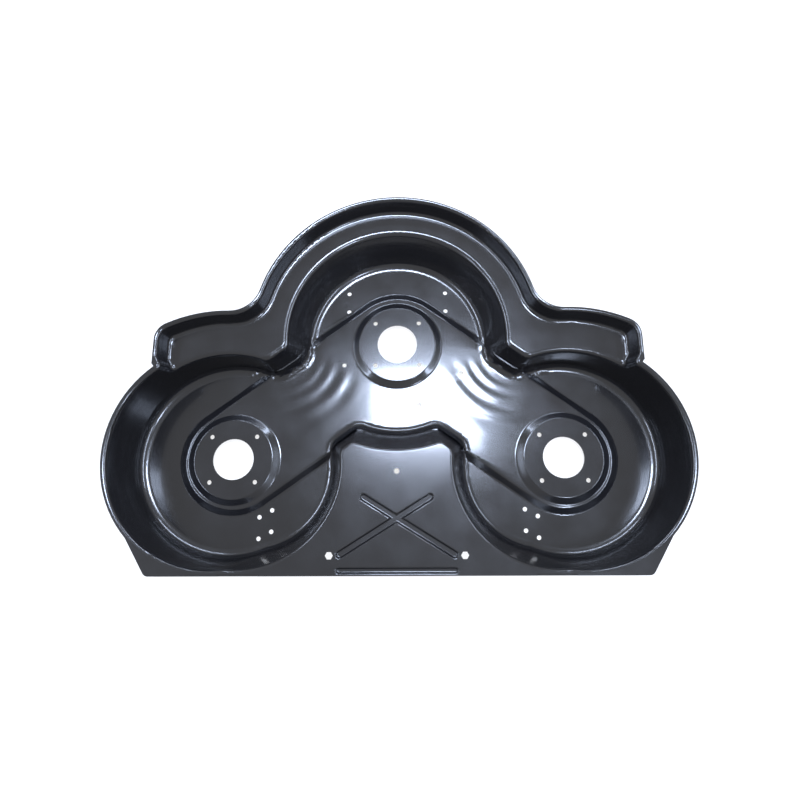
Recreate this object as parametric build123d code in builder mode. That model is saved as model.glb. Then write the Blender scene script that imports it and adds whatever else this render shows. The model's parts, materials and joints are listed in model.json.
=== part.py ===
"""Three-spindle lawn mower deck: one pressed sheet-steel shell, lying open side up."""
import os
from math import atan2, cos, degrees, hypot, radians, sin, tan

from build123d import *

# Sheet and levels, measured to the open face of the sheet above the plane that it lies on
sheet = 2.5
plateau_rise = 8.0
disc_rise = 16.0
shelf_level = 83.0
deck_height = 118.0

# Spindles: two at the sides, one ahead of them in the middle
spindle_pitch = 667.0
spindle_advance = 241.0
spindle_bore = 83.0
bolt_square = 92.0
bolt_hole = 9.0
disc_radius = 80.0
disc_fillet = 5.0

# Blade chambers: radii at the rim and the draft of the walls in degrees
side_chamber_radius = 206.0
side_chamber_draft = 6.0
front_chamber_radius = 234.0
front_chamber_draft = 23.0
floor_fillet = 20.0

# Relief that widens each side chamber towards the rear island
relief_radius = 186.0
relief_draft = 13.0
relief_inset = 44.0
relief_setback = 20.0

# Throats between the chambers, measured at a depth below the rim, with the rounded noses that they leave
throat_width = 178.0
throat_depth = 115.5
throat_offset = 5.0
throat_draft = 17.0
nose_fillet = 25.0
island_fillet = 22.0
island_corner_reach = 0.5
foot_reach = 24.0
foot_slope = 80.0

# Raised plateau that carries the spindle discs
plateau_side_radius = 99.0
plateau_front_radius = 104.0
plateau_back_half = 112.0
plateau_back_setback = 7.0
plateau_slope = 30.0
plateau_fillet = 10.0

# Front shelf, its lip with two ears, and the edges beside them
lip_radius = 281.0
lip_flange = 7.0
lip_draft = 14.0
lip_fillet = 9.0
ear_half_width = 470.0
ear_end = 175.0
ear_corner_radius = 35.0
valley_radius = 60.0
shelf_edge_fillet = 12.0
rim_fillet = 8.0

# Side flanges and the rear edge
rim_flange = 9.0
rear_reach = 216.0
rear_half_width = 447.0
rear_corner_radius = 12.0
knee_half_width = 497.0
knee_setback = 135.0
notch_centre = 280.0
notch_length = 70.0
notch_depth = 4.0

# Stiffening beads pressed into the rear island
bead_width = 14.0
bead_depth = 4.0
bead_draft = 35.0
bead_fillet = 2.5
cross_top_half = 60.0
cross_top_setback = 80.0
cross_foot_half = 102.0
cross_foot_setback = 180.0
edge_bead_half = 103.0
edge_bead_setback = 207.0
edge_bead_width = 11.0

# Small holes, as distances from the line of the side spindles
island_hole = 10.0
island_hole_setback = 33.0
hex_hole_flats = 12.5
hex_hole_half = 120.5
hex_hole_setback = 181.5
front_hole_half = 104.5
front_hole_advance = 341.0
front_hole_pitch = 41.5
inner_pair_half = 254.0
inner_pair_setback = 122.5
outer_pair_half = 279.0
outer_pair_setback = 136.0
pair_pitch = 42.0
plateau_holes = [(-112.0, 198.0), (134.0, 178.0), (45.0, 111.0)]

# Where things stand once the deck's box is centred on the origin
front_reach = spindle_advance + lip_radius
side_x = spindle_pitch / 2
side_y = (rear_reach - front_reach) / 2
front_y = side_y + spindle_advance
spindles = [(-side_x, side_y), (0, front_y), (side_x, side_y)]
floor_level = sheet
plateau_level = floor_level + plateau_rise
shelf_middle = (front_chamber_radius + lip_radius) / 2
slab_size = 2 * (side_x + lip_radius)
link_angle = degrees(atan2(spindle_advance, side_x))
link_length = hypot(spindle_advance, side_x)
link_y = (side_y + front_y) / 2
throat_shift = (throat_depth - deck_height + floor_level) * tan(radians(throat_draft))
throat_floor = throat_width + 2 * throat_shift
back_half = plateau_back_half + throat_shift / sin(radians(link_angle))
nearby = sheet / 100


def wall_radius(rim_radius, draft, level, skin):
    """Radius of a drafted chamber wall at a level, pushed out by the skin."""
    slope = radians(draft)
    return rim_radius - (deck_height - level) * tan(slope) + skin / cos(slope)


def skin_growth(draft, skin):
    """How far a drafted outline moves out where both its wall and its floor step back by the skin."""
    slope = radians(draft)
    return skin * (1 / cos(slope) - tan(slope))


def chamber_hollow(level, skin):
    """The three drafted chambers down to a level, joined as one hollow with rounded noses and feet."""
    base = level - skin
    depth = deck_height - base
    cones = [(0, front_y, front_chamber_radius, front_chamber_draft, 90)]
    for side, seam in ((-1, 180), (1, 0)):
        relief_x = side * (side_x - relief_inset)
        cones.append((side * side_x, side_y, side_chamber_radius, side_chamber_draft, seam))
        cones.append((relief_x, side_y - relief_setback, relief_radius, relief_draft, seam))
    throat = throat_floor + 2 * skin_growth(throat_draft, skin)
    with BuildPart() as hollow:
        for x, y, radius, draft, seam in cones:
            with Locations((x, y, base)):
                Cone(
                    wall_radius(radius, draft, base, skin),
                    wall_radius(radius, draft, deck_height, skin),
                    depth,
                    rotation=(0, 0, seam),
                    align=(Align.CENTER, Align.CENTER, Align.MIN),
                )
        for side in (-1, 1):
            with BuildSketch(Plane.XY.offset(base)):
                with Locations((side * side_x / 2, link_y - throat_offset)):
                    Rectangle(link_length, throat, rotation=-side * link_angle)
            extrude(amount=depth, taper=-throat_draft)
        creases = hollow.edges().filter_by(GeomType.BSPLINE)
        noses = creases.filter_by(lambda edge: edge.center().Y > link_y)
        fillet(noses, nose_fillet - skin)
        creases = hollow.edges().filter_by(GeomType.BSPLINE)
        corners = creases.filter_by(lambda edge: abs(edge.center().X) < island_corner_reach * side_x)
        corners = corners.filter_by(lambda edge: side_y - relief_setback < edge.center().Y < link_y)
        fillet(corners, island_fillet - skin)
        fillet(hollow.edges().group_by(Axis.Z)[0], floor_fillet + skin)
    return hollow.part


def plateau_plan(inset):
    """Plan of the plateau's top, drawn in by an inset."""
    with BuildSketch() as plan:
        for x, y in (spindles[0], spindles[2]):
            with BuildSketch(mode=Mode.PRIVATE) as link:
                with Locations((x, y)):
                    Circle(plateau_side_radius - inset)
                with Locations((0, front_y)):
                    Circle(plateau_front_radius - inset)
                make_hull()
            add(link.sketch)
        back_y = side_y - plateau_back_setback
        with BuildLine():
            Polyline((-back_half, back_y), (0, front_y), (back_half, back_y), close=True)
        make_face()
    return plan.sketch


def wall_feet(skin):
    """The rounded feet of the walls that stand on the plateau."""
    with BuildPart() as feet:
        with BuildSketch(Plane.XY.offset(plateau_level - skin)):
            add(plateau_plan(skin * tan(radians(plateau_slope / 2))))
        extrude(amount=foot_reach, taper=90 - foot_slope)
        add(chamber_hollow(plateau_level, skin), mode=Mode.SUBTRACT)
    return feet.part


def plateau_terrain(skin):
    """The chamber floor with the plateau and the three spindle discs standing on it."""
    base = floor_level - skin
    draft = 90 - plateau_slope
    inset = skin * tan(radians(plateau_slope / 2))
    disc_run = disc_rise * tan(radians(draft))
    with BuildPart() as terrain:
        with Locations((0, 0, base)):
            Box(slab_size, slab_size, sheet, align=(Align.CENTER, Align.CENTER, Align.MAX))
        with BuildSketch(Plane.XY.offset(plateau_level - skin)):
            add(plateau_plan(inset))
        extrude(amount=-plateau_rise, taper=-draft)
        foot = terrain.edges().filter_by_position(Axis.Z, base - nearby, base + nearby)
        foot = foot.filter_by(lambda edge: edge.center().length < slab_size / 2)
        fillet(foot, plateau_fillet + skin)
        crown = terrain.edges().group_by(Axis.Z)[-1]
        fillet(crown, plateau_fillet - skin)
        for x, y in spindles:
            with Locations((x, y, base)):
                Cone(
                    disc_radius - inset + disc_run,
                    disc_radius - inset,
                    disc_rise,
                    align=(Align.CENTER, Align.CENTER, Align.MIN),
                )
        fillet(terrain.edges().group_by(Axis.Z)[-1], disc_fillet - skin)
    return terrain.part


def lip_region(inset):
    """Plan of the lip around the front shelf and its two ears, drawn in from the edge by an inset."""
    ear_x = ear_half_width - inset
    ear_y = side_y + ear_end + inset
    with BuildSketch() as region:
        with Locations(*spindles):
            Circle(lip_radius - inset)
        with BuildSketch(mode=Mode.INTERSECT):
            with BuildLine():
                Polyline(
                    (-ear_x, front_reach),
                    (-ear_x, ear_y),
                    *spindles,
                    (ear_x, ear_y),
                    (ear_x, front_reach),
                    close=True,
                )
            make_face()
        corners = region.vertices().filter_by(lambda vertex: vertex.Y > ear_y + nearby)
        valleys = corners.filter_by(lambda vertex: abs(vertex.X) < side_x)
        fillet(valleys, valley_radius + inset)
        corners = region.vertices().filter_by(lambda vertex: vertex.Y > ear_y + nearby)
        ear_corners = corners.filter_by(lambda vertex: abs(vertex.X) > ear_x - nearby)
        fillet(ear_corners, ear_corner_radius - inset)
    return region.sketch


def shelf_hollow(skin):
    """The hollow above the front shelf, inside the lip."""
    base = shelf_level - skin
    slope = radians(lip_draft)
    inset = lip_flange + (deck_height - base) * tan(slope) - skin / cos(slope)
    with BuildPart() as hollow:
        with BuildSketch(Plane.XY.offset(base)):
            add(lip_region(inset))
        extrude(amount=deck_height - base, taper=-lip_draft)
        fillet(hollow.edges().group_by(Axis.Z)[0], lip_fillet + skin)
    return hollow.part


def pressing(skin):
    """Everything pressed below the rim: chambers, shelf and the relief of the floor."""
    with BuildPart() as hollow:
        add(chamber_hollow(floor_level, skin))
        add(plateau_terrain(skin), mode=Mode.SUBTRACT)
        add(wall_feet(skin), mode=Mode.SUBTRACT)
        add(shelf_hollow(skin))
    return hollow.part


def flange_plan():
    """Plan of the trimmed sheet at the rim, with the rear edge and its two notches."""
    rear_y = side_y - rear_reach
    knee_y = side_y - knee_setback
    ear_y = side_y + ear_end
    with BuildSketch() as plan:
        with BuildLine():
            Polyline(
                (-knee_half_width, knee_y),
                (-rear_half_width, rear_y),
                (rear_half_width, rear_y),
                (knee_half_width, knee_y),
                (side_x, ear_y),
                (-side_x, ear_y),
                close=True,
            )
        make_face()
        fillet(plan.vertices().group_by(Axis.Y)[0], rear_corner_radius)
        with Locations(spindles[0], spindles[2]):
            Circle(side_chamber_radius + rim_flange)
        add(lip_region(0))
        with Locations((-notch_centre, rear_y), (notch_centre, rear_y)):
            Rectangle(notch_length, 2 * notch_depth, mode=Mode.SUBTRACT)
    return plan.sketch


def bead_plan(growth):
    """Plan of the crossed beads and the edge bead on the rear island."""
    rise = cross_foot_setback - cross_top_setback
    run = cross_top_half + cross_foot_half
    lean = degrees(atan2(rise, run))
    cross_y = side_y - (cross_top_setback + cross_foot_setback) / 2
    cross_x = (cross_foot_half - cross_top_half) / 2
    with BuildSketch() as plan:
        for side in (-1, 1):
            with Locations((side * cross_x, cross_y)):
                SlotCenterToCenter(hypot(rise, run), bead_width + 2 * growth, rotation=-side * lean)
        with Locations((0, side_y - edge_bead_setback)):
            SlotCenterToCenter(2 * edge_bead_half, edge_bead_width + 2 * growth)
    return plan.sketch


def bead_edges(level):
    """The edges of the beads at one level of the open face."""
    edges = deck.edges().filter_by_position(Axis.Z, level - nearby, level + nearby)
    edges = edges.filter_by(lambda edge: abs(edge.center().X) < edge_bead_half + bead_width)
    return edges.filter_by(lambda edge: -rear_reach < edge.center().Y - side_y < bead_width - cross_top_setback)


def spindle_reach(edge):
    """Distance from an edge's middle to the nearest spindle."""
    middle = edge.position_at(0.5)
    return min(hypot(middle.X - x, middle.Y - y) for x, y in spindles)


def shelf_edges(level):
    """The edges around the chambers on one face of the shelf."""
    edges = deck.edges().filter_by_position(Axis.Z, level - nearby, level + nearby)
    return edges.filter_by(lambda edge: spindle_reach(edge) < shelf_middle)


with BuildPart() as deck:
    with BuildSketch(Plane.XY.offset(deck_height - sheet)):
        add(flange_plan())
    extrude(amount=sheet)
    add(pressing(sheet))
    add(pressing(0), mode=Mode.SUBTRACT)

    # Rounded edges of the shelf on both faces, and of the rim on the open face
    fillet(shelf_edges(shelf_level), shelf_edge_fillet)
    fillet(shelf_edges(shelf_level - sheet), shelf_edge_fillet - sheet)
    top = deck.faces().filter_by(Plane.XY).sort_by(Axis.Z)[-1]
    fillet(top.inner_wires()[0].edges(), rim_fillet)

    # Beads on the rear island, pressed away from the open side
    with BuildSketch(Plane.XY.offset(deck_height - sheet)):
        add(bead_plan(skin_growth(bead_draft, sheet)))
    extrude(amount=-bead_depth, taper=bead_draft)
    with BuildSketch(Plane.XY.offset(deck_height)):
        add(bead_plan(0))
    extrude(amount=-bead_depth, taper=bead_draft, mode=Mode.SUBTRACT)
    fillet(bead_edges(deck_height), bead_fillet)
    fillet(bead_edges(deck_height - bead_depth), bead_fillet)

    # Spindle bores with their bolt squares, and the small holes
    with BuildSketch():
        with Locations(*spindles):
            Circle(spindle_bore / 2)
            with GridLocations(bolt_square, bolt_square, 2, 2):
                Circle(bolt_hole / 2)
        with Locations((0, side_y + front_hole_advance)):
            with GridLocations(2 * front_hole_half, front_hole_pitch, 2, 2):
                Circle(bolt_hole / 2)
        with Locations((0, side_y - inner_pair_setback)):
            with GridLocations(2 * inner_pair_half, pair_pitch, 2, 2):
                Circle(bolt_hole / 2)
        with Locations((0, side_y - outer_pair_setback)):
            with GridLocations(2 * outer_pair_half, pair_pitch, 2, 2):
                Circle(bolt_hole / 2)
        for x, advance in plateau_holes:
            with Locations((x, side_y + advance)):
                Circle(bolt_hole / 2)
        with Locations((0, side_y - island_hole_setback)):
            Circle(island_hole / 2)
        with Locations((0, side_y - hex_hole_setback)):
            with GridLocations(2 * hex_hole_half, 0, 2, 1):
                RegularPolygon(hex_hole_flats / 2, 6, major_radius=False)
    extrude(amount=deck_height, mode=Mode.SUBTRACT)
    deck.part.label = "deck_shell"

os.makedirs("parts", exist_ok=True)
export_step(deck.part, "parts/deck_shell.step")
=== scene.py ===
"""Looks of a pressed sheet-steel lawn mower deck, built on its CAD frame."""
import json
import math

import bmesh
import bpy
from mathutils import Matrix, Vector, noise
from mathutils.kdtree import KDTree


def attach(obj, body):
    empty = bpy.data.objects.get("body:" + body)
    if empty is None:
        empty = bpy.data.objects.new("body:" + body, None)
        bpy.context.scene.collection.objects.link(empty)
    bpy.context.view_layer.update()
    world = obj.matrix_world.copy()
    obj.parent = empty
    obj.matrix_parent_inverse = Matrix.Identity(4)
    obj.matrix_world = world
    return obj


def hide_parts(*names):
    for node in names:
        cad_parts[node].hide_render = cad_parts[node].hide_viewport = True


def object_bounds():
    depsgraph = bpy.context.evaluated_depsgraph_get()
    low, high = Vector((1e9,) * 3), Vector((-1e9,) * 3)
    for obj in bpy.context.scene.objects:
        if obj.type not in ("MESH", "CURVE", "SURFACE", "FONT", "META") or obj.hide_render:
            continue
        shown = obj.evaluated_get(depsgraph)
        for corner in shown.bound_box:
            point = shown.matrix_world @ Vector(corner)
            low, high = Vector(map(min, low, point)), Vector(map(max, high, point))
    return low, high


bl_info = {
    "name": "Mower Deck Looks",
    "version": (1, 0, 0),
    "blender": (4, 5, 0),
    "location": "3D View > Sidebar > Mower Deck",
    "description": "Dresses a pressed mower deck in black paint and sets its stage",
    "category": "Object",
}

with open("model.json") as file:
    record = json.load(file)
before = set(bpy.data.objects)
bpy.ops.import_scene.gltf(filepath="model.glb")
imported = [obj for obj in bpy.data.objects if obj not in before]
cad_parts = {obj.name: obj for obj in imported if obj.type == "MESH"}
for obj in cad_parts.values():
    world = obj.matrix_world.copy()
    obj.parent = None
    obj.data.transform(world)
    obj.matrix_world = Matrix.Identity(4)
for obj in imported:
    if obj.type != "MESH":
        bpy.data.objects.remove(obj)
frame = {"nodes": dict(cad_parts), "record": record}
CAD_BOX = [list(corner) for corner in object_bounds()]
MOUNTS = {mount["name"]: Vector(mount["pos_m"]) for mount in frame["record"]["mounts"]}
FRONT_SPINDLE = MOUNTS["front_spindle_bore"]
SIDE_SPINDLES = (MOUNTS["left_spindle_bore"], MOUNTS["right_spindle_bore"])
MM = 0.001

# How the pressing is told apart in the CAD mesh
WELD = 0.02 * MM
SAME_PLANE = math.radians(0.2)
LEVEL_NORMAL = 0.9999
LEVEL_SLACK = 0.05 * MM
RADIUS_SLACK = 0.3 * MM

# Fineness of the rounded disc feet and the dents, and the angle from which an edge stays crisp
FOOT_SEGMENTS = 4
CRUMPLE_CUTS = 5
CRISP_EDGE = math.radians(40)
FACE_AREA_WEIGHT = 100

# Fan of ripples before a nose: full inside one angle, gone at the other, fading from a share of its reach
FAN_FULL, FAN_END = math.radians(20), math.radians(50)
FADE_START = 0.6

# Crumpled spots of the drawn sheet: places beside and ahead of the deck's middle in metres, on both sides
CRUMPLES = (
    (0.175, 0.092), (0.2, 0.062), (0.226, 0.044), (0.252, 0.027), (0.3, 0.028),
    (0.15, -0.148), (0.156, -0.175),
)

# Which faces can crumple: up to a height, and neither upright nor level
CRUMPLE_TOP = 50 * MM
CRUMPLE_LEAN = (0.1, 0.999)

# Camera, worked out from the spindle bolt holes: place in metres, turn in degrees, lens in millimetres
CAMERA_PLACE = (0.02307, -0.2614, 1.09509)
CAMERA_TURN = (11.9866, 1.0055, -0.2628)
CAMERA_LENS = 23.99
CAMERA_SENSOR = 36
FLOOR_SIDE = 8


def linear(hex_colour):
    """An sRGB hex colour as linear red, green and blue."""
    channels = [int(hex_colour[i:i + 2], 16) / 255 for i in (1, 3, 5)]
    return [c / 12.92 if c <= 0.04045 else ((c + 0.055) / 1.055) ** 2.4 for c in channels]


# Softboxes: name, place and sides in metres, power in watts
LAMP_COLOUR = linear("#d4e3ff")
LAMPS = (
    ("overhead_softbox", (0.14, 0.44, 2.5), (0.75, 0.58), 115),
    ("left_strip", (-2.3, 0.0, 2.0), (2.6, 0.22), 90),
    ("right_strip", (2.3, 0.0, 2.0), (2.6, 0.22), 90),
    ("front_strip", (0.0, 2.5, 2.0), (2.6, 0.22), 90),
    ("rear_spot", (0.95, -1.1, 2.1), (0.4, 0.3), 30),
)


class DeckShellSettings(bpy.types.PropertyGroup):
    """Sizes of the marks that pressing left in the sheet."""
    plateau_height: bpy.props.FloatProperty(
        name="Plateau height", description="Open face of the plateau above the floor it lies on",
        default=10.5 * MM, unit="LENGTH")
    sheet: bpy.props.FloatProperty(
        name="Sheet", description="Thickness of the steel sheet", default=2.5 * MM, unit="LENGTH")
    edge_fade: bpy.props.FloatProperty(
        name="Edge fade", description="Width over which the ripples die out beside an edge",
        default=12 * MM, unit="LENGTH")
    grid_pitch: bpy.props.FloatProperty(
        name="Grid pitch", description="Spacing of the cuts that let the plateau ripple",
        default=6 * MM, unit="LENGTH")
    ripple_slope: bpy.props.FloatProperty(
        name="Ripple slope", description="Steepest slope of the draw ripples beside the noses", default=0.1)
    ripple_growth: bpy.props.FloatProperty(
        name="Ripple growth", description="Length of each ripple as a share of its distance from the nose",
        default=0.265)
    first_ripple: bpy.props.FloatProperty(
        name="First ripple", description="Distance of the first ripple's crest from the middle of the nose",
        default=65 * MM, unit="LENGTH")
    ripple_reach: bpy.props.FloatProperty(
        name="Ripple reach", description="Distance from the nose at which the ripples die out",
        default=200 * MM, unit="LENGTH")
    disc_foot: bpy.props.FloatProperty(
        name="Disc foot", description="Radius at which a spindle disc stands on the plateau",
        default=93.86 * MM, unit="LENGTH")
    foot_round: bpy.props.FloatProperty(
        name="Foot round", description="Width of the rounding at the foot of a spindle disc, to each side",
        default=2.2 * MM, unit="LENGTH")
    disc_fade: bpy.props.FloatProperty(
        name="Disc fade", description="Width over which the ripples die out beside a spindle disc",
        default=34 * MM, unit="LENGTH")
    nose_offset: bpy.props.FloatProperty(
        name="Nose offset", description="Middle of a nose from the line between two spindles",
        default=133 * MM, unit="LENGTH")
    crumple_reach: bpy.props.FloatProperty(
        name="Crumple reach", description="Radius of a crumpled spot in the drawn sheet",
        default=24 * MM, unit="LENGTH")
    crumple_pitch: bpy.props.FloatProperty(
        name="Crumple pitch", description="Spacing of the dents in a crumpled spot",
        default=9 * MM, unit="LENGTH")
    crumple_depth: bpy.props.FloatProperty(
        name="Crumple depth", description="Depth of the dents in a crumpled spot",
        default=1.6 * MM, unit="LENGTH")
    tab_centre: bpy.props.FloatProperty(
        name="Tab centre", description="Middle of a coined tab on the rear edge from the middle of the deck",
        default=280 * MM, unit="LENGTH")
    tab_length: bpy.props.FloatProperty(
        name="Tab length", description="Length of a coined tab along the rear edge",
        default=70 * MM, unit="LENGTH")
    tab_width: bpy.props.FloatProperty(
        name="Tab width", description="Width of a coined tab across the rear edge",
        default=4 * MM, unit="LENGTH")
    tab_drop: bpy.props.FloatProperty(
        name="Tab drop", description="How far a coined tab falls towards the rear",
        default=1.2 * MM, unit="LENGTH")


class DeckPaintSettings(bpy.types.PropertyGroup):
    """Colour and gloss of the black paint."""
    colour: bpy.props.FloatVectorProperty(
        name="Colour", description="Body colour of the black paint", subtype="COLOR", size=3,
        default=linear("#0b0b0d"))
    roughness: bpy.props.FloatProperty(
        name="Roughness", description="Mean roughness of the cured paint", default=0.22)


class DeckStageSettings(bpy.types.PropertyGroup):
    """Floor, light and camera."""
    floor_colour: bpy.props.FloatVectorProperty(
        name="Floor colour", description="Pale studio floor", subtype="COLOR", size=3,
        default=linear("#f7f7f7"))
    floor_glow: bpy.props.FloatProperty(
        name="Floor glow", description="Share of plain white in the floor, seen directly or reflected",
        default=0.8)


def select_only(piece):
    """Makes one object the only selected and the active one."""
    if bpy.context.object and bpy.context.object.mode != "OBJECT":
        bpy.ops.object.mode_set(mode="OBJECT")
    bpy.ops.object.select_all(action="DESELECT")
    piece.select_set(True)
    bpy.context.view_layer.objects.active = piece


def add_node(tree, kind, links=None, inputs=None, **settings):
    """Adds a shader node with its settings, input values and links."""
    node = tree.nodes.new(kind)
    for key, value in settings.items():
        setattr(node, key, value)
    for key, value in (inputs or {}).items():
        node.inputs[key].default_value = value
    for key, socket in (links or {}).items():
        tree.links.new(socket, node.inputs[key])
    return node


def edit_only(piece, kind):
    """Opens one object for editing with nothing selected, choosing by one kind of element."""
    select_only(piece)
    bpy.ops.object.mode_set(mode="EDIT")
    bpy.ops.mesh.select_mode(type=kind)
    bpy.ops.mesh.select_all(action="DESELECT")
    return bmesh.from_edit_mesh(piece.data)


def spindle_distance(place, spindle):
    """How far a place is from a spindle's axis."""
    return math.hypot(place.x - spindle.x, place.y - spindle.y)


def nearest(mesh, place):
    """The vertex of a mesh that is nearest to a place."""
    return min(mesh.verts, key=lambda vertex: (vertex.co - place).length_squared)


def close_notch(mesh, centre, settings):
    """Fills a notch of the rear edge with the coined tab that falls away in it."""
    rear, top = CAD_BOX[0][1], CAD_BOX[1][2]
    inner, outer = rear + settings.tab_width, rear
    ends = [centre - settings.tab_length / 2, centre + settings.tab_length / 2]
    corner = {}
    for end, x in enumerate(ends):
        for row, y in (("inner", inner), ("outer", outer)):
            for level, z in (("top", top), ("foot", top - settings.sheet)):
                corner[row, level, end] = nearest(mesh, Vector((x, y, z)))
    walls = [[corner["inner", level, end] for end in (0, 1) for level in ("top", "foot")]]
    for end in (0, 1):
        walls.append([corner[row, level, end] for row in ("inner", "outer") for level in ("top", "foot")])
    for wall in walls:
        mesh.faces.remove(next(face for face in wall[0].link_faces if set(wall) <= set(face.verts)))
    for end in (0, 1):
        upper, lower = corner["outer", "top", end], corner["outer", "foot", end]
        edge = next(edge for edge in upper.link_edges if edge.other_vert(upper) is lower)
        corner["tab", end] = bmesh.utils.edge_split(edge, upper, settings.tab_drop / settings.sheet)[1]
        mesh.faces.new((corner["inner", "top", end], upper, corner["tab", end]))
    low, high = corner["tab", 0], corner["tab", 1]
    mesh.faces.new((corner["inner", "top", 0], corner["inner", "top", 1], high, low))
    mesh.faces.new((low, high, corner["outer", "foot", 1], corner["outer", "foot", 0]))
    mesh.faces.new([corner[row, "foot", end] for row, end in
                    (("inner", 0), ("outer", 0), ("outer", 1), ("inner", 1))])


def close_notches(shell, settings):
    """Fills both notches of the rear edge."""
    mesh = bmesh.new()
    mesh.from_mesh(shell.data)
    for side in (-1, 1):
        close_notch(mesh, side * settings.tab_centre, settings)
    bmesh.ops.recalc_face_normals(mesh, faces=mesh.faces)
    mesh.to_mesh(shell.data)
    mesh.free()


def round_disc_feet(shell, settings):
    """Rounds the crease where each spindle disc stands on the plateau."""
    mesh = edit_only(shell, "EDGE")
    for spindle in (FRONT_SPINDLE, *SIDE_SPINDLES):
        feet = {vertex for vertex in mesh.verts
                if abs(vertex.co.z - settings.plateau_height) < LEVEL_SLACK
                and abs(spindle_distance(vertex.co, spindle) - settings.disc_foot) < RADIUS_SLACK}
        for edge in {edge for vertex in feet for edge in vertex.link_edges}:
            level = [face.normal.z > LEVEL_NORMAL for face in edge.link_faces]
            if feet.issuperset(edge.verts) and level.count(True) == 1:
                edge.select_set(True)
    bmesh.update_edit_mesh(shell.data)
    bpy.ops.mesh.bevel(offset=settings.foot_round, segments=FOOT_SEGMENTS, affect="EDGES")
    bpy.ops.object.mode_set(mode="OBJECT")


def is_plateau(face, settings):
    """Whether a face lies flat on the plateau, on either side of the sheet."""
    level = face.calc_center_median().z
    upper = face.normal.z > LEVEL_NORMAL and abs(level - settings.plateau_height) < LEVEL_SLACK
    back = settings.plateau_height - settings.sheet
    lower = face.normal.z < -LEVEL_NORMAL and abs(level - back) < LEVEL_SLACK
    return upper or lower


def cut_plateau(shell, low, high, settings):
    """Cuts the flat of the plateau along a square grid between two corners of its plan."""
    mesh = edit_only(shell, "FACE")
    for face in mesh.faces:
        face.select_set(is_plateau(face, settings))
    bmesh.update_edit_mesh(shell.data)
    bpy.ops.mesh.hide(unselected=True)
    for axis, normal in ((0, (1, 0, 0)), (1, (0, 1, 0))):
        for step in range(int((high[axis] - low[axis]) / settings.grid_pitch) + 1):
            place = Vector((0, 0, 0))
            place[axis] = low[axis] + step * settings.grid_pitch
            bpy.ops.mesh.select_all(action="SELECT")
            bpy.ops.mesh.bisect(plane_co=place, plane_no=normal)
    bpy.ops.mesh.reveal()
    bpy.ops.object.mode_set(mode="OBJECT")


def smooth_step(value, low, high):
    """0 below low, 1 above high, and a smooth rise between them."""
    share = min(max((value - low) / (high - low), 0), 1)
    return share * share * (3 - 2 * share)


def nose_frames(settings):
    """Middle and inward direction of the two noses, from the spindles on either side of them."""
    noses = []
    for side in SIDE_SPINDLES:
        middle = (side + FRONT_SPINDLE) / 2
        along = (FRONT_SPINDLE - side).normalized()
        outward = Vector((-along.y, along.x, 0))
        if outward.y < 0:
            outward = -outward
        noses.append((middle + settings.nose_offset * outward, -outward))
    return noses


def ripple(place, nose, inward, settings):
    """Height of the draw ripples that spread from one nose over the plateau."""
    out = Vector((place.x - nose.x, place.y - nose.y, 0))
    distance = out.length
    length = settings.ripple_growth * distance
    phase = math.log(distance / settings.first_ripple) / settings.ripple_growth
    spread = math.acos(max(-1, min(1, out.normalized().dot(inward))))
    window = 1 - smooth_step(spread, FAN_FULL, FAN_END)
    window *= 1 - smooth_step(distance, FADE_START * settings.ripple_reach, settings.ripple_reach)
    return window * settings.ripple_slope * length / (2 * math.pi) * math.cos(2 * math.pi * phase)


def ripple_plateau(shell, noses, settings):
    """Presses the draw ripples into both sides of the plateau, dying out at its edges."""
    mesh = bmesh.new()
    mesh.from_mesh(shell.data)
    flats = {face for face in mesh.faces if is_plateau(face, settings)}
    inner = {vertex for face in flats for vertex in face.verts}
    edge = [vertex for vertex in inner if not flats.issuperset(vertex.link_faces)]
    tree = KDTree(len(edge))
    for index, vertex in enumerate(edge):
        tree.insert(vertex.co, index)
    tree.balance()
    inner.difference_update(edge)
    lifts = {}
    for vertex in inner:
        lift = sum(ripple(vertex.co, nose, inward, settings) for nose, inward in noses)
        lift *= smooth_step(tree.find(vertex.co)[2], 0, settings.edge_fade)
        for spindle in (FRONT_SPINDLE, *SIDE_SPINDLES):
            beyond = spindle_distance(vertex.co, spindle) - settings.disc_foot
            lift *= smooth_step(beyond, 0, settings.disc_fade)
        lifts[vertex] = lift
    for vertex, lift in lifts.items():
        vertex.co.z += lift
    mesh.to_mesh(shell.data)
    mesh.free()


def crumple(shell, settings):
    """Dents the open face where the drawn walls gathered, at the noses' feet and the island's corners."""
    spots = [Vector((side * x, y, 0)) for x, y in CRUMPLES for side in (-1, 1)]
    mesh = edit_only(shell, "FACE")

    def nearness(place):
        flat = Vector((place.x, place.y, 0))
        return 1 - smooth_step(min((flat - spot).length for spot in spots), 0, settings.crumple_reach)

    def is_open(face):
        steep, flat = CRUMPLE_LEAN
        return steep < face.normal.z < flat and face.calc_center_median().z < CRUMPLE_TOP

    for face in mesh.faces:
        if is_open(face) and any(nearness(vertex.co) > 0 for vertex in face.verts):
            face.select_set(True)
    bmesh.update_edit_mesh(shell.data)
    bpy.ops.mesh.subdivide(number_cuts=CRUMPLE_CUTS, quadcorner="INNERVERT")
    mesh = bmesh.from_edit_mesh(shell.data)
    mesh.normal_update()
    chosen = {face for face in mesh.faces if face.select}
    lifts = {}
    for vertex in {vertex for face in chosen for vertex in face.verts}:
        if chosen.issuperset(vertex.link_faces):
            rough = noise.noise(vertex.co / settings.crumple_pitch)
            lifts[vertex] = vertex.normal * rough * settings.crumple_depth * nearness(vertex.co)
    for vertex, lift in lifts.items():
        vertex.co += lift
    bmesh.update_edit_mesh(shell.data)
    bpy.ops.object.mode_set(mode="OBJECT")


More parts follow.
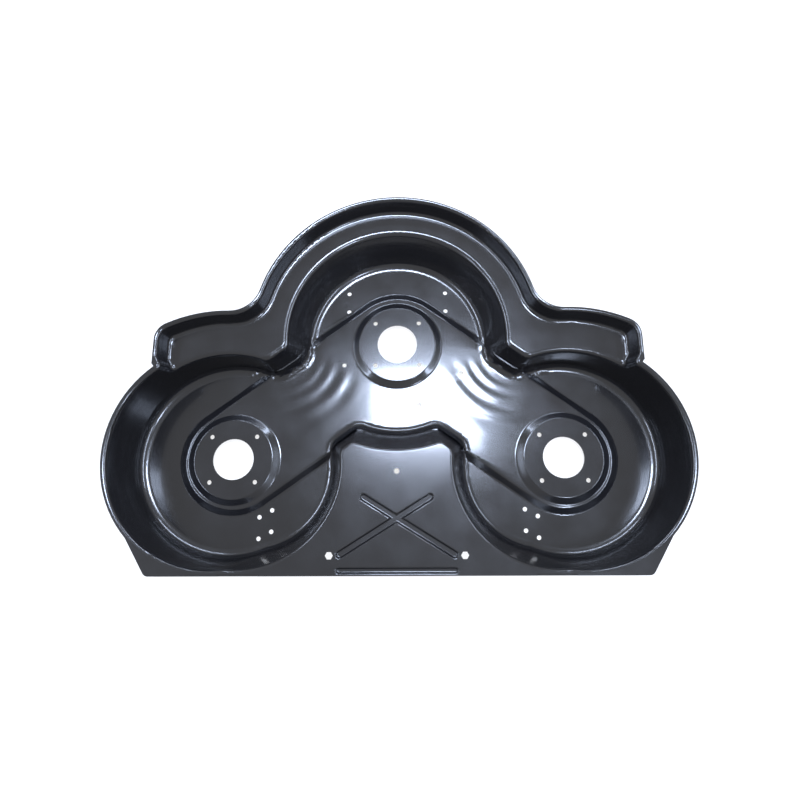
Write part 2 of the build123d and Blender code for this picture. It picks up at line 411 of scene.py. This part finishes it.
def black_paint(settings):
    """Semi-gloss black baking enamel, sprayed on pressed steel: near-black body under a thin clear gloss,
    with a faint orange peel and shallow streaks along the drawn walls."""
    material = bpy.data.materials.new("black_baking_enamel")
    material.use_nodes = True
    tree = material.node_tree
    shader = tree.nodes["Principled BSDF"]
    place = add_node(tree, "ShaderNodeTexCoord").outputs["Object"]
    peel = add_node(tree, "ShaderNodeTexNoise", {"Vector": place}, {"Scale": 1 / (9 * MM), "Detail": 2.0})
    peel_bump = add_node(tree, "ShaderNodeBump", {"Height": peel.outputs["Fac"]},
                         {"Strength": 0.03, "Distance": 1 * MM})
    haze = add_node(tree, "ShaderNodeTexNoise", {"Vector": place}, {"Scale": 1 / (70 * MM), "Detail": 4.0})
    gloss = add_node(tree, "ShaderNodeMapRange", {"Value": haze.outputs["Fac"]},
                     {"From Min": 0.3, "From Max": 0.7, "To Min": 0.8 * settings.roughness,
                      "To Max": 1.2 * settings.roughness})
    shader.inputs["Base Color"].default_value = (*settings.colour, 1)
    shader.inputs["Specular IOR Level"].default_value = 0.32
    shader.inputs["Coat Weight"].default_value = 0.3
    shader.inputs["Coat Roughness"].default_value = 0.08
    tree.links.new(gloss.outputs["Result"], shader.inputs["Roughness"])
    facing = add_node(tree, "ShaderNodeNewGeometry").outputs["Normal"]
    upward = add_node(tree, "ShaderNodeSeparateXYZ", {"Vector": facing}).outputs["Z"]
    steep = add_node(tree, "ShaderNodeMapRange", {"Value": upward},
                     {"From Min": 0.75, "From Max": 0.4, "To Min": 0.0, "To Max": 1.0})
    along = add_node(tree, "ShaderNodeMapping", {"Vector": place}, {"Scale": (0.08, 0.08, 1.0)})
    streaks = add_node(tree, "ShaderNodeTexNoise", {"Vector": along.outputs["Vector"]},
                       {"Scale": 1 / (14 * MM), "Detail": 2.0})
    streak_bump = add_node(tree, "ShaderNodeBump",
                           {"Height": streaks.outputs["Fac"], "Strength": steep.outputs["Result"],
                            "Normal": peel_bump.outputs["Normal"]}, {"Distance": 0.7 * MM})
    tree.links.new(streak_bump.outputs["Normal"], shader.inputs["Normal"])
    return material


class MOWERDECK_OT_shell(bpy.types.Operator):
    """Builds the painted shell from the pressing, with the ripples that drawing left in it"""
    bl_idname = "mowerdeck.shell"
    bl_label = "Pressed shell"

    def execute(self, context):
        settings = context.scene.deck_shell
        node = frame["nodes"]["deck_shell"]
        shell = bpy.data.objects.new("pressed_shell", node.data.copy())
        context.scene.collection.objects.link(shell)
        select_only(shell)
        bpy.ops.object.mode_set(mode="EDIT")
        bpy.ops.mesh.select_all(action="SELECT")
        bpy.ops.mesh.remove_doubles(threshold=WELD)
        bpy.ops.mesh.dissolve_limited(angle_limit=SAME_PLANE)
        bpy.ops.object.mode_set(mode="OBJECT")
        close_notches(shell, settings)
        round_disc_feet(shell, settings)
        noses = nose_frames(settings)
        low = Vector((noses[0][0].x, SIDE_SPINDLES[0].y, 0))
        high = Vector((noses[1][0].x, noses[0][0].y, 0))
        cut_plateau(shell, low, high, settings)
        ripple_plateau(shell, noses, settings)
        crumple(shell, settings)
        select_only(shell)
        bpy.ops.object.shade_smooth()
        edit_only(shell, "EDGE")
        bpy.ops.mesh.edges_select_sharp(sharpness=CRISP_EDGE)
        bpy.ops.mesh.mark_sharp()
        bpy.ops.object.mode_set(mode="OBJECT")
        weighted = shell.modifiers.new("Weighted normals", "WEIGHTED_NORMAL")
        weighted.keep_sharp = True
        weighted.weight = FACE_AREA_WEIGHT
        bpy.ops.object.modifier_apply(modifier=weighted.name)
        shell.data.materials.clear()
        shell.data.materials.append(black_paint(context.scene.deck_paint))
        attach(shell, "root")
        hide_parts("deck_shell")
        return {"FINISHED"}


class MOWERDECK_OT_stage(bpy.types.Operator):
    """Sets the pale floor, the soft light and the camera"""
    bl_idname = "mowerdeck.stage"
    bl_label = "Stage"

    def execute(self, context):
        settings = context.scene.deck_stage
        scene = context.scene
        bpy.ops.object.select_all(action="DESELECT")
        bpy.ops.mesh.primitive_plane_add(size=FLOOR_SIDE, location=(0, 0, 0))
        floor = context.object
        floor.name = "floor"
        paper = bpy.data.materials.new("studio_paper")
        paper.use_nodes = True
        shader = paper.node_tree.nodes["Principled BSDF"]
        shader.inputs["Base Color"].default_value = (*settings.floor_colour, 1)
        shader.inputs["Roughness"].default_value = 0.9
        tree = paper.node_tree
        path = add_node(tree, "ShaderNodeLightPath").outputs
        seen = path["Is Camera Ray"]
        for ray in ("Is Glossy Ray", "Is Transmission Ray"):
            seen = add_node(tree, "ShaderNodeMath", {0: seen, 1: path[ray]}, operation="MAXIMUM").outputs[0]
        share = add_node(tree, "ShaderNodeMath", {0: seen}, {1: settings.floor_glow}, operation="MULTIPLY")
        glow = add_node(tree, "ShaderNodeEmission")
        mixed = add_node(tree, "ShaderNodeMixShader",
                         {0: share.outputs[0], 1: shader.outputs[0], 2: glow.outputs[0]})
        tree.links.new(mixed.outputs[0], tree.nodes["Material Output"].inputs["Surface"])
        floor.data.materials.append(paper)

        world = bpy.data.worlds.new("studio")
        scene.world = world
        world.use_nodes = True
        world.node_tree.nodes["Background"].inputs["Color"].default_value = (1, 1, 1, 1)

        for name, place, sides, power in LAMPS:
            softbox = bpy.data.lights.new(name, "AREA")
            softbox.shape = "RECTANGLE"
            softbox.size, softbox.size_y = sides
            softbox.energy = power
            softbox.color = LAMP_COLOUR
            lamp = bpy.data.objects.new(name, softbox)
            lamp.location = place
            if name != "overhead_softbox":
                lamp.rotation_euler = (-Vector(place)).to_track_quat("-Z", "Y").to_euler()
            scene.collection.objects.link(lamp)

        lens = bpy.data.cameras.new("camera")
        lens.sensor_width = CAMERA_SENSOR
        lens.lens = CAMERA_LENS
        camera = bpy.data.objects.new("camera", lens)
        camera.location = CAMERA_PLACE
        camera.rotation_euler = [math.radians(angle) for angle in CAMERA_TURN]
        scene.collection.objects.link(camera)
        scene.camera = camera
        scene.view_settings.view_transform = "Standard"
        return {"FINISHED"}


class MOWERDECK_PT_panel(bpy.types.Panel):
    """Lists the pieces of the deck and their settings"""
    bl_idname = "MOWERDECK_PT_panel"
    bl_label = "Mower Deck"
    bl_space_type = "VIEW_3D"
    bl_region_type = "UI"
    bl_category = "Mower Deck"

    def draw(self, context):
        for settings, operator in (("deck_shell", "mowerdeck.shell"), ("deck_paint", None),
                                   ("deck_stage", "mowerdeck.stage")):
            group = getattr(context.scene, settings)
            box = self.layout.box()
            for name in group.__annotations__:
                box.prop(group, name)
            if operator:
                box.operator(operator)


SETTINGS = {"deck_shell": DeckShellSettings, "deck_paint": DeckPaintSettings, "deck_stage": DeckStageSettings}
CLASSES = (*SETTINGS.values(), MOWERDECK_OT_shell, MOWERDECK_OT_stage, MOWERDECK_PT_panel)


def register():
    for item in CLASSES:
        bpy.utils.register_class(item)
    for name, group in SETTINGS.items():
        setattr(bpy.types.Scene, name, bpy.props.PointerProperty(type=group))


def unregister():
    for name in SETTINGS:
        delattr(bpy.types.Scene, name)
    for item in reversed(CLASSES):
        bpy.utils.unregister_class(item)


def main():
    register()
    bpy.ops.mowerdeck.shell()
    bpy.ops.mowerdeck.stage()


if __name__ == "__main__":
    main()
